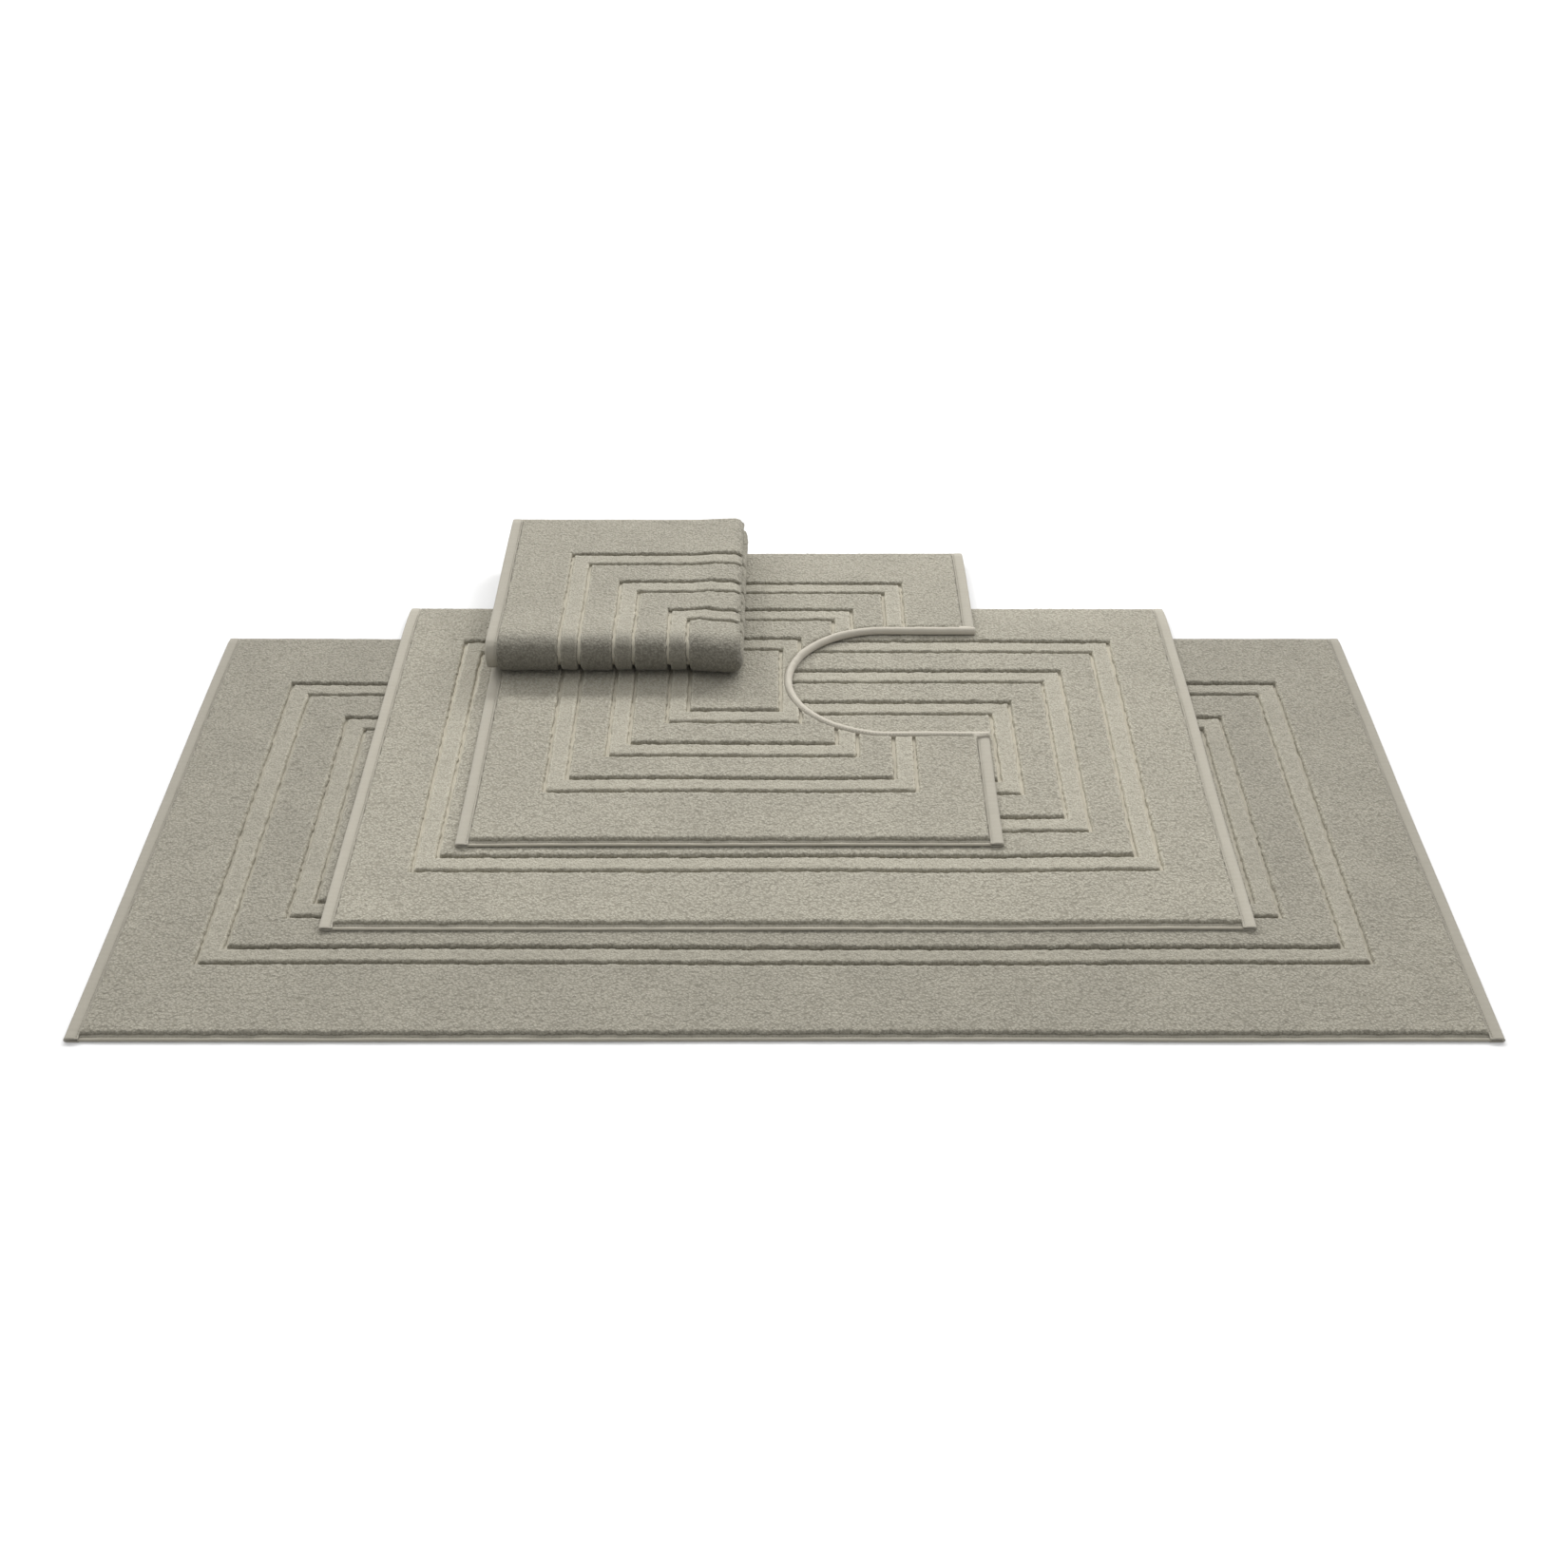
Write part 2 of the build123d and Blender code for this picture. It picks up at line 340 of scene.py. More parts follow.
def shell(us, vs, keep, top, bottom):
    """A closed shell over the kept cells of a grid.

    top and bottom map grid coordinates to points. Returns points, faces and cloth coordinates."""
    n, m = len(us), len(vs)
    uu, vv = np.meshgrid(us, vs, indexing="ij")
    index = np.arange(n * m).reshape(n, m)
    i, j = np.nonzero(keep)
    quads = np.stack([index[i, j], index[i + 1, j], index[i + 1, j + 1], index[i, j + 1]], -1)
    under = quads[:, ::-1] + n * m
    padded = np.zeros((n + 1, m + 1), bool)
    padded[1:-1, 1:-1] = keep
    walls = []
    for axis, flip in ((0, 0), (0, 1), (1, 0), (1, 1)):
        near = padded[:-1, :] if axis == 0 else padded[:, :-1]
        far = padded[1:, :] if axis == 0 else padded[:, 1:]
        edge = (far & ~near) if flip else (near & ~far)
        a, b = np.nonzero(edge)
        if axis == 0:       # an edge along v at line a, between b-1 and b
            p, q = index[a, b - 1], index[a, b]
        else:
            p, q = index[a, b], index[a - 1, b]
        if flip:
            p, q = q, p
        walls.append(np.stack([q, p, p + n * m, q + n * m], -1))
    points = np.concatenate([top(uu.ravel(), vv.ravel()), bottom(uu.ravel(), vv.ravel())])
    cloth = np.tile(np.stack([uu.ravel(), vv.ravel()], -1), (2, 1))
    faces = np.concatenate([quads, under] + walls)
    used = np.unique(faces)
    renumber = np.zeros(len(points), int)
    renumber[used] = np.arange(len(used))
    return points[used], [renumber[faces]], cloth[used]


def ring_grid(outer, inner, step):
    """Grid lines and the kept cells of a frame-shaped field, or of a plain one without inner."""
    bu, bv = [outer[0], outer[1]], [outer[2], outer[3]]
    if inner:
        bu, bv = sorted(bu + [inner[0], inner[1]]), sorted(bv + [inner[2], inner[3]])
    us, vs = graded(bu, step), graded(bv, step)
    cu, cv = (us[1:] + us[:-1]) / 2, (vs[1:] + vs[:-1]) / 2
    keep = np.ones((len(cu), len(cv)), bool)
    if inner:
        in_u = (cu > inner[0]) & (cu < inner[1])
        in_v = (cv > inner[2]) & (cv < inner[3])
        keep[np.ix_(in_u, in_v)] = False
    return us, vs, keep


def edge_distance(u, v, outer, inner):
    """How far in from a field's edges a point lies, 1 being the end of the edge's shoulder.

    Also the same from the edges that face the front alone."""
    side, front, back = SIDE_SHOULDER, FRONT_SHOULDER, BACK_SHOULDER
    to_front = (v - outer[2]) / front
    t = np.minimum(np.minimum(u - outer[0], outer[1] - u) / side,
                   np.minimum(to_front, (outer[3] - v) / back))
    if inner:
        beyond_u = np.maximum(inner[0] - u, u - inner[1]) / side
        beyond_v = np.maximum((inner[2] - v) / back, (v - inner[3]) / front)
        t = np.minimum(t, np.maximum(beyond_u, beyond_v))
        within = (u > inner[0] - side) & (u < inner[1] + side) & (v > inner[3] - front)
        to_front = np.where(within, np.minimum(to_front, (v - inner[3]) / front), to_front)
    return t, to_front


def pile_height(u, v, t, height):
    """The loops' height, with clumps and single loops, where the edge distance is t."""
    t = np.clip(t, 0, 1)
    shoulder = np.sqrt(np.clip(1 - (1 - t) ** 2, 0, 1))
    rough = 0.00022 * tuft(u, v) + 0.0005 * loop(u, v) - 0.0005 * np.abs(loop(v + 9, u))
    return GROUND + (height - GROUND + rough) * shoulder


def bloom(u, v, outer, inner):
    """How much the loops at a field's back edges spread over the groove, from 0 to 1."""
    def near(distance):
        return 1 - smooth(distance / BLOOM_WIDTH)

    dv = near(outer[3] - v)
    if inner:
        before = smooth((u - inner[0]) / 0.003 + 1) * smooth((inner[1] - u) / 0.003 + 1)
        dv = dv + before * np.where(v < inner[2] + 1e-6, near(inner[2] - v), 0)
    return dv


def field_edges(mat, i):
    """A field's outer rectangle and its inner one, which the centre lacks."""
    inner = None
    if i + 1 < len(FIELDS):
        x0, x1, y0, y1 = mat.outer[i + 1]
        inner = (x0 - GROOVE, x1 + GROOVE, y0 - GROOVE, y1 + GROOVE)
    return mat.outer[i], inner


def mark_side_light(piece, mat, i, cloth):
    """Mark the loops along a field's left and right grooves for painted light, which stands in for
    light shining through them.
    """
    outer, inner = field_edges(mat, i)
    u, v = cloth.T
    distance = np.minimum(u - outer[0], outer[1] - u) if i else np.ones(len(u))
    if inner:
        beside = (v > inner[2] - 0.001) & (v < inner[3] + 0.001)
        to_inner = np.minimum(np.abs(u - inner[0]), np.abs(u - inner[1]))
        distance = np.where(beside, np.minimum(distance, to_inner), distance)
    mark = piece.data.attributes.new("Side", "FLOAT", "POINT")
    mark.data.foreach_set("value", (1 - smooth(distance / SIDE_PAINTED_LIGHT_WIDTH)).astype(np.float32))


def pile_field(mat, i, step, cut=None):
    """One field of terry loops: a frame or the centre, standing on the ground cloth."""
    outer, inner = field_edges(mat, i)
    us, vs, keep = ring_grid(outer, inner, step)
    if cut:
        cu, cv = (us[1:] + us[:-1]) / 2, (vs[1:] + vs[:-1]) / 2
        keep &= cut.distance(*np.meshgrid(cu, cv, indexing="ij")) > TAPE - 0.0004
    height = PILE_TOP - (BAND_LOWER if FIELDS[i] in BANDS else 0)

    def top(u, v):
        t, to_front = edge_distance(u, v, outer, inner)
        if cut:
            t = np.minimum(t, (cut.distance(u, v) - TAPE + 0.0004) / TAPE_SHOULDER)
        h = pile_height(u, v, t, height)
        ragged = 1 - smooth(t / 1.6)
        across = 0.0009 * fringe(u, v) + 0.0003 * tuft(u + 2, v)
        along = 0.0012 * fringe(v + 7, u) + 0.0005 * tuft(v, u + 4)
        tall = (h - GROUND) / height
        lean = LEAN * (1 - smooth(to_front / 1.5)) * tall
        spread = BLOOM * tall * bloom(u, v, outer, inner)
        return mat.place(u + ragged * across, v + ragged * along + spread - lean, h)

    def bottom(u, v):
        return mat.place(u, v, GROUND - ROOT)

    return shell(us, vs, keep, top, bottom)


def even(a, b, step):
    """Evenly spaced lines from a to b, about a step apart."""
    return np.linspace(a, b, max(2, int(round((b - a) / step)) + 1))


def ground_cloth(mat, step, cut=None):
    """The flat-woven cloth between the hems, with its cutout."""
    us = even(mat.x0 + SIDE_HEM - 0.001, mat.x1 - SIDE_HEM + 0.001, step)
    vs = even(mat.y0 + END_HEM - 0.001, mat.y1 - END_HEM + 0.001, step)
    keep = np.ones((len(us) - 1, len(vs) - 1), bool)
    if cut:
        cu, cv = (us[1:] + us[:-1]) / 2, (vs[1:] + vs[:-1]) / 2
        keep &= cut.distance(*np.meshgrid(cu, cv, indexing="ij")) > TAPE / 2
    return shell(us, vs, keep, lambda u, v: mat.place(u, v, GROUND),
                 lambda u, v: mat.place(u, v, 0.0))


def sweep(section, stations, place):
    """A closed tube: section points (e, h) carried to each station by place(station, e, h)."""
    e, h = np.array(section).T
    n, k = len(stations), len(e)
    rows = [place(s, e, h) for s in stations]
    points = np.concatenate([r[0] for r in rows])
    cloth = np.concatenate([r[1] for r in rows])
    i, j = np.meshgrid(np.arange(n - 1), np.arange(k), indexing="ij")
    a, b = i * k + j, i * k + (j + 1) % k
    quads = np.stack([a, b, b + k, a + k], -1).reshape(-1, 4)
    caps = np.array([np.arange(k)[::-1], (n - 1) * k + np.arange(k)])
    return points, [quads, caps], cloth


# Sections of the hems, as (distance in from the outer edge, height), in millimetres: cloth
# folded over itself, open towards the mat
SIDE_SECTION = [(15, .1), (9, .1), (3.2, .1), (1.6, .4), (.6, 1.3), (.2, 2.5), (.6, 3.7),
                (1.6, 4.6), (3.2, 5.0), (6.5, 5.2), (10, 5.0), (11.6, 4.6), (12.5, 4.2),
                (13.4, 4.5), (14.6, 4.6), (15.2, 4.0), (14.8, 3.4), (9, 3.5), (4, 3.5),
                (2.7, 3.0), (2.5, 2.4), (3, 1.8), (4.2, 1.5), (9, 1.5), (15, 1.5)]
END_SECTION = [(7.6, .1), (4, .1), (1.4, .1), (.5, .5), (.1, 1.4), (.3, 2.5), (.9, 3.3),
               (1.7, 3.5), (2.4, 3.1), (2.9, 2.7), (3.8, 3.0), (4.5, 2.9), (5.2, 3.2),
               (6.4, 3.4), (7.6, 3.4), (7.6, 1.8)]
TAPE_SECTION = [(8.4, .1), (5, .1), (2.2, .1), (1.0, .5), (.3, 1.4), (0, 2.8), (.2, 4.3),
                (.7, 5.8), (1.6, 7.1), (2.8, 8.0), (4.2, 8.5), (5.6, 8.6), (6.8, 8.3),
                (7.4, 7.8), (7.9, 7.8), (8.6, 7.2), (9.2, 5.6), (9.2, 3.0)]


def metres(section):
    """A hem's section in metres."""
    return [(e / 1000, h / 1000) for e, h in section]


def pucker(s):
    """1 at each pull of the hemming thread along a seam, 0 between them."""
    return np.clip(1 - np.abs((s / 0.0072) % 1 - 0.5) / 0.2, 0, 1)


def side_hem(mat, side, v0, v1):
    """The double-folded hem along x0 (side -1) or x1 (side 1), from v0 to v1."""
    edge = mat.x0 if side < 0 else mat.x1
    section = metres(SIDE_SECTION)
    section = section if side > 0 else section[::-1]

    def place(v, e, h):
        flattened = 0.35 * (1 - smooth(mat.from_back(v) / 0.012))
        wave = 1 + 0.05 * tuft(v / 3, edge) - 0.06 * pucker(v) - flattened
        u = edge - side * e
        vv = np.full(len(e), v)
        return mat.place(u, vv, h * np.where(h > 0.002, wave, 1)), np.stack([u, vv], -1)

    return sweep(section, even(v0, v1, HEM_STEP), place)


def end_hem(mat, side):
    """The rolled hem along y0 (side -1) or y1 (side 1), between the side hems."""
    edge = mat.y0 if side < 0 else mat.y1
    section = metres(END_SECTION)
    section = section if side < 0 else section[::-1]

    def place(u, e, h):
        wave = 1 + 0.07 * tuft(u / 2, edge) - 0.07 * pucker(u)
        v = edge - side * e
        uu = np.full(len(e), u)
        return mat.place(uu, v, h * np.where(h > 0.002, wave, 1)), np.stack([uu, v], -1)

    stations = even(mat.x0 + SIDE_HEM - 0.0012, mat.x1 - SIDE_HEM + 0.0012, HEM_STEP)
    return sweep(section, stations, place)


def joined(parts):
    """Several (points, faces, cloth) as one."""
    points, faces, cloth, start = [], [], [], 0
    for p, f, c in parts:
        points.append(p)
        faces += [a + start for a in f]
        cloth.append(c)
        start += len(p)
    return np.concatenate(points), faces, np.concatenate(cloth)


RINGS = 4                   # rings of points along one stitch
AROUND = 6                  # points around it


def stitches(centres, along, height, mat):
    """Short arched threads at the given cloth points, each lying along its own direction."""
    n = len(centres)
    t = np.linspace(0.06, 0.94, RINGS)
    around = np.arange(AROUND) / AROUND * 2 * math.pi
    across = np.stack([-along[:, 1], along[:, 0]], -1)
    radius = STITCH_R * np.sqrt(np.sin(math.pi * t))
    arch = 0.00025 * np.sin(math.pi * t)
    lean = (t - 0.5) * STITCH_LENGTH
    base = centres[:, None, None, :] + along[:, None, None, :] * lean[None, :, None, None]
    side = radius[None, :, None] * np.cos(around)[None, None, :]
    uv = base + across[:, None, None, :] * side[..., None]
    h = height + arch[None, :, None] + radius[None, :, None] * np.sin(around)[None, None, :]
    h = np.broadcast_to(h, uv.shape[:-1])
    points = mat.place(uv[..., 0].ravel(), uv[..., 1].ravel(), h.ravel())
    start = (np.arange(n) * RINGS * AROUND)[:, None, None]
    i, j = np.meshgrid(np.arange(RINGS - 1), np.arange(AROUND), indexing="ij")
    a, b = i * AROUND + j, i * AROUND + (j + 1) % AROUND
    quads = np.stack([a, a + AROUND, b + AROUND, b], -1).reshape(1, -1, 4) + start
    first = np.arange(AROUND)
    last = (RINGS - 1) * AROUND + np.arange(AROUND)[::-1]
    caps = np.stack([first, last])[None] + start
    return points, [quads.reshape(-1, 4), caps.reshape(-1, AROUND)], uv.reshape(-1, 2)


def row(a, b):
    """Stitch centres and directions on a straight seam."""
    a, b = np.array(a, float), np.array(b, float)
    length = np.linalg.norm(b - a)
    n = max(1, int(length / STITCH_PITCH))
    t = (np.arange(n) + 0.5) / n
    return a + (b - a) * t[:, None], np.tile((b - a) / length, (n, 1))


def hem_stitches(mat, cut=None):
    """The rows of stitches along the four hems."""
    parts = []
    for side, edge in ((-1, mat.x0), (1, mat.x1)):
        u = edge - side * (SIDE_HEM - SEAM_INSET)
        c, d = row((u, mat.y0 + SEAM_INSET), (u, mat.y1 - SEAM_INSET))
        if cut:
            clear = cut.distance(c[:, 0], c[:, 1]) > TAPE + 0.002
            c, d = c[clear], d[clear]
        parts.append(stitches(c, d, SIDE_SEAM_TOP, mat))
    for side, edge in ((-1, mat.y0), (1, mat.y1)):
        v = edge - side * (END_HEM - SEAM_INSET)
        c, d = row((mat.x0 + SIDE_HEM, v), (mat.x1 - SIDE_HEM, v))
        parts.append(stitches(c, d, END_SEAM_TOP, mat))
    return joined(parts)


def binding(mat, cut):
    """The bias tape round the cutout, with the small puckers of cloth bent round a curve."""
    points, normals = cut.path(0.002)
    curved = np.abs(normals[:, 0]) ** 0.5
    stations = list(zip(points, normals, curved, np.arange(len(points)) * 0.002))

    def place(station, e, h):
        p, n, bend, s = station
        to_end = min(s, stations[-1][3] - s)
        tuck = 0.4 * min(to_end / TUCK, 1) if to_end < TUCK else 0
        e = e + 1.6 * tuck * np.clip(e - 0.004, 0, None)
        pucker = 1 + (0.03 + 0.03 * bend) * fringe(s / 1.6, 0.3) + 0.03 * tuft(s / 3, 0.1)
        uv = p + n * e[:, None]
        return mat.place(uv[:, 0], uv[:, 1], h * np.where(h > 0.004, pucker, 1)), uv

    return sweep(metres(TAPE_SECTION)[::-1], stations, place)


def binding_stitches(mat, cut):
    """The row of stitches along the tape's outer edge."""
    points, normals = cut.path(STITCH_PITCH)
    points = points[1:-1] + normals[1:-1] * (TAPE - 0.0003)
    along = np.stack([normals[1:-1, 1], -normals[1:-1, 0]], -1)
    return stitches(points, along, TAPE_SEAM_TOP, mat)


# ---------------------------------------------------------------- materials

class Nodes:
    """A small helper that adds and links nodes of one material."""

    def __init__(self, name):
        self.material = bpy.data.materials.new(name)
        self.material.use_nodes = True
        self.tree = self.material.node_tree
        self.shader = self.tree.nodes["Principled BSDF"]

    def add(self, kind, inputs=None, **settings):
        node = self.tree.nodes.new(kind)
        for key, value in settings.items():
            setattr(node, key, value)
        for key, value in (inputs or {}).items():
            if isinstance(value, bpy.types.NodeSocket):
                self.tree.links.new(value, node.inputs[key])
            else:
                node.inputs[key].default_value = value
        return node

    def link(self, value, key):
        self.tree.links.new(value, self.shader.inputs[key])


def mix_colour(nodes, factor, a, b, blend="MIX"):
    """A colour between a and b, or another blend of them."""
    node = nodes.add("ShaderNodeMix", data_type="RGBA", blend_type=blend)
    for key, value in ((0, factor), (6, a), (7, b)):
        if isinstance(value, bpy.types.NodeSocket):
            nodes.tree.links.new(value, node.inputs[key])
        else:
            node.inputs[key].default_value = value
    return node.outputs[2]


def terry_material(name, light, dark, pitch=0.0028, depth=0.0013, bent=False):
    """Looped pile: curled loops with painted shade in the gaps between them, and painted light and
    shade in blotches where the pile leans.

    Where the cloth is bent round the folded mat's front, its colour is darkened: painted shade for
    the face turned away from the light, with the loops parting there too."""
    nodes = Nodes(name)
    where = nodes.add("ShaderNodeTexCoord").outputs["Object"]
    curl = nodes.add("ShaderNodeTexNoise", {"Vector": where, "Scale": 520.0, "Detail": 1.0})
    warped = nodes.add("ShaderNodeVectorMath", {0: curl.outputs["Color"], 1: (0.0026,) * 3,
                                                2: where}, operation="MULTIPLY_ADD")
    loops = nodes.add("ShaderNodeTexVoronoi", {"Vector": warped.outputs[0], "Scale": 1 / pitch})
    yarn = nodes.add("ShaderNodeTexNoise", {"Vector": where, "Scale": 1100.0, "Detail": 1.0})
    lean = nodes.add("ShaderNodeTexNoise", {"Vector": where, "Scale": 14.0, "Detail": 3.0,
                                            "Roughness": 0.6})
    clump = nodes.add("ShaderNodeTexNoise", {"Vector": where, "Scale": 200.0, "Detail": 2.0,
                                             "Roughness": 0.6})
    dome = nodes.add("ShaderNodeMath", {0: loops.outputs["Distance"], 1: -1.0, 2: 1.0},
                     operation="MULTIPLY_ADD")
    height = nodes.add("ShaderNodeMath", {0: yarn.outputs["Fac"], 1: 0.35, 2: dome.outputs[0]},
                       operation="MULTIPLY_ADD")
    # painted shade: the colour darkens between the loops, where the gaps lie in shade
    gap = nodes.add("ShaderNodeMapRange", {"Value": height.outputs[0], "From Min": 0.45,
                                           "From Max": 0.95})
    colour = mix_colour(nodes, gap.outputs["Result"], (*dark, 1), (*light, 1))
    # painted light and shade in large blotches where the pile leans, and in smaller clumps
    shade = nodes.add("ShaderNodeMapRange", {"Value": lean.outputs["Fac"], "From Min": 0.3,
                                             "From Max": 0.7, "To Min": 0.94, "To Max": 1.05})
    shade2 = nodes.add("ShaderNodeMapRange", {"Value": clump.outputs["Fac"], "From Min": 0.3,
                                              "From Max": 0.7, "To Min": 0.95, "To Max": 1.05})
    both = nodes.add("ShaderNodeMath", {0: shade.outputs["Result"], 1: shade2.outputs["Result"]},
                     operation="MULTIPLY")
    # painted light: loops along a side groove are made lighter, standing in for light shining
    # through them, so the groove stays light instead of shaded
    side = nodes.add("ShaderNodeAttribute", attribute_name="Side").outputs["Fac"]
    lit = nodes.add("ShaderNodeMath", {0: side, 1: SIDE_PAINTED_LIGHT, 2: 1.0}, operation="MULTIPLY_ADD")
    level = nodes.add("ShaderNodeMath", {0: both.outputs[0], 1: lit.outputs[0]},
                      operation="MULTIPLY").outputs[0]
    # painted shade on the folded mat's front turn
    if bent:
        cloth = nodes.add("ShaderNodeUVMap", uv_map="Cloth").outputs["UV"]
        along = nodes.add("ShaderNodeSeparateXYZ", {0: cloth}).outputs["Y"]
        off = nodes.add("ShaderNodeMath", {0: along}, operation="ABSOLUTE")
        part = nodes.add("ShaderNodeMapRange", {"Value": off.outputs[0], "From Min": BEND_SHADE_FROM,
                                                "From Max": BEND_SHADE_TO, "To Min": BEND_SHADE_LEVEL,
                                                "To Max": 1.0},
                         interpolation_type="SMOOTHSTEP")
        level = nodes.add("ShaderNodeMath", {0: level, 1: part.outputs["Result"]},
                          operation="MULTIPLY").outputs[0]
    tone = nodes.add("ShaderNodeCombineColor", {0: level, 1: level, 2: level})
    nodes.link(mix_colour(nodes, 1.0, colour, tone.outputs[0], "MULTIPLY"), "Base Color")
    bump = nodes.add("ShaderNodeBump", {"Height": height.outputs[0], "Strength": 1.0,
                                        "Distance": depth})
    nodes.link(bump.outputs["Normal"], "Normal")
    rough = nodes.add("ShaderNodeMapRange", {"Value": yarn.outputs["Fac"], "To Min": 0.98,
                                             "To Max": 0.86})
    nodes.link(rough.outputs["Result"], "Roughness")
    nodes.shader.inputs["Sheen Weight"].default_value = 0.1
    nodes.shader.inputs["Sheen Roughness"].default_value = 0.6
    nodes.shader.inputs["Specular IOR Level"].default_value = 0.15
    return nodes.material


def woven_material(name, light, dark, threads, depth, grain=0.6):
    """Plain weave: crossing threads along the cloth's own directions, slightly uneven."""
    nodes = Nodes(name)
    cloth = nodes.add("ShaderNodeUVMap", uv_map="Cloth").outputs["UV"]
    where = nodes.add("ShaderNodeTexCoord").outputs["Object"]
    warp = nodes.add("ShaderNodeTexWave", {"Vector": cloth, "Scale": threads, "Distortion": 0.6,
                                           "Detail": 1.0}, wave_type="BANDS",
                     bands_direction="X")
    weft = nodes.add("ShaderNodeTexWave", {"Vector": cloth, "Scale": threads, "Distortion": 0.6,
                                           "Detail": 1.0}, wave_type="BANDS",
                     bands_direction="Y")
    over = nodes.add("ShaderNodeMath", {0: warp.outputs["Fac"], 1: weft.outputs["Fac"]},
                     operation="MULTIPLY")
    slub = nodes.add("ShaderNodeTexNoise", {"Vector": where, "Scale": 90.0, "Detail": 3.0})
    mixed = nodes.add("ShaderNodeMath", {0: slub.outputs["Fac"], 1: grain}, operation="MULTIPLY")
    factor = nodes.add("ShaderNodeMath", {0: over.outputs[0], 1: mixed.outputs[0]},
                       operation="ADD", use_clamp=True)
    nodes.link(mix_colour(nodes, factor.outputs[0], (*dark, 1), (*light, 1)), "Base Color")
    bump = nodes.add("ShaderNodeBump", {"Height": over.outputs[0], "Strength": 0.5,
                                        "Distance": depth})
    nodes.link(bump.outputs["Normal"], "Normal")
    rough = nodes.add("ShaderNodeMapRange", {"Value": slub.outputs["Fac"], "To Min": 0.8,
                                             "To Max": 0.95})
    nodes.link(rough.outputs["Result"], "Roughness")
    nodes.shader.inputs["Sheen Weight"].default_value = 0.1
    nodes.shader.inputs["Specular IOR Level"].default_value = 0.2
    return nodes.material


def palette(name, bent=False):
    """One mat's materials: the same dyed cotton, made a little lighter or darker from mat to mat
    as painted light and shade.
    """
    tone = MAT_PAINTED_LIGHT[name]

    def toned(r, g, b):
        return (r * tone, g * tone, b * tone)

    return {
        "pile": terry_material(f"{name}_terry_pile", toned(0.400, 0.377, 0.309),
                               toned(0.275, 0.256, 0.204), bent=bent),
        "band": terry_material(f"{name}_short_pile", toned(0.417, 0.393, 0.322),
                               toned(0.307, 0.286, 0.229), 0.0021, 0.0007, bent),
        # partly painted light: the ground cloth's own lighter weave, raised further so it shows
        # light in the narrow grooves despite their shade
        "weave": woven_material(f"{name}_ground_weave", toned(0.68, 0.64, 0.53),
                                toned(0.54, 0.505, 0.415), 160.0, 0.0004),
        "hem": woven_material(f"{name}_hem_cotton", toned(0.40, 0.375, 0.315),
                              toned(0.33, 0.307, 0.255), 260.0, 0.0002),
        # partly painted light: the binding's own lighter cotton, raised a little further for its
        # face that turns away from the light
        "tape": woven_material(f"{name}_binding_cotton", toned(0.52, 0.485, 0.41),
                               toned(0.45, 0.418, 0.352), 300.0, 0.0002),
        # painted light: the rolled end hems a little lighter than the side hems, against the shade
        # the pile casts on the front strips
        "roll": woven_material(f"{name}_rolled_hem", toned(0.44, 0.412, 0.34),
                               toned(0.36, 0.335, 0.272), 260.0, 0.0002),
        "thread": woven_material(f"{name}_stitching_thread", toned(0.42, 0.40, 0.335),
                                 toned(0.32, 0.30, 0.245), 700.0, 0.0001),
    }


# ---------------------------------------------------------------- the mats

def flat_mat(mat, step, looks, cut=None):
    """All the pieces of one flat mat."""
    name, body = mat.name, mat.body
    shape = ground_cloth(mat, CUT_GROUND_STEP if cut else GROUND_STEP, cut)
    ground = make(f"{name}_ground_cloth", *shape, looks["weave"], body, slot="ground_weave")
    pieces = []
    for i, field in enumerate(FIELDS):
        shape = pile_field(mat, i, step, cut)
        piece = make(f"{name}_{field}", *shape, looks["band" if field in BANDS else "pile"], body,
                     slot="terry_pile")
        mark_side_light(piece, mat, i, shape[2])
        pieces.append(piece)
    for side, word in ((-1, "left"), (1, "right")):
        if cut and side > 0:
            low = side_hem(mat, side, mat.y0, cut.y - cut.b - TAPE + 0.001)
            high = side_hem(mat, side, cut.y + cut.b + TAPE - 0.001, mat.y1)
            shape = joined([low, high])
        else:
            shape = side_hem(mat, side, mat.y0, mat.y1)
        pieces.append(make(f"{name}_{word}_hem", *shape, looks["hem"], body,
                           slot="hem_cotton"))
    for side, word in ((-1, "front"), (1, "back")):
        pieces.append(make(f"{name}_{word}_hem", *end_hem(mat, side), looks["roll"], body,
                           slot="hem_cotton"))
    pieces.append(make(f"{name}_hem_stitches", *hem_stitches(mat, cut), looks["thread"], body,
                       slot="stitching_thread"))
    return ground, pieces


large = Flat("large", "large_mat")
large_back = large.y1
medium = Flat("medium", "medium_mat", large_back, MEDIUM_DROOP)
pedestal = Flat("pedestal", "pedestal_mat", large_back, PEDESTAL_DROOP)
cutout = Cutout()

large_ground, large_pieces = flat_mat(large, LARGE_STEP, palette("large"))
medium_ground, medium_pieces = flat_mat(medium, MEDIUM_STEP, palette("medium"))
pedestal_looks = palette("pedestal")
pedestal_ground, pedestal_pieces = flat_mat(pedestal, PEDESTAL_STEP, pedestal_looks, cutout)
pedestal_pieces.append(make("pedestal_binding_tape", *binding(pedestal, cutout),
                            pedestal_looks["tape"], "pedestal_mat", slot="binding_cotton"))
pedestal_pieces.append(make("pedestal_binding_stitches", *binding_stitches(pedestal, cutout),
                            pedestal_looks["thread"], "pedestal_mat", slot="stitching_thread"))

# The folded mat's pieces cross the front turn, so each bends between its two halves.
LEAVES = [f"folded_{half}_{part}" for half in ("lower", "upper")
          for part in ("outer_leaf", "inner_leaf", "outer_turn", "inner_turn", "right_turn")]
SIDE_HEMS = ["folded_lower_side_hems", "folded_upper_side_hems"]
END_HEMS = ["folded_lower_end_hems", "folded_upper_end_hems"]

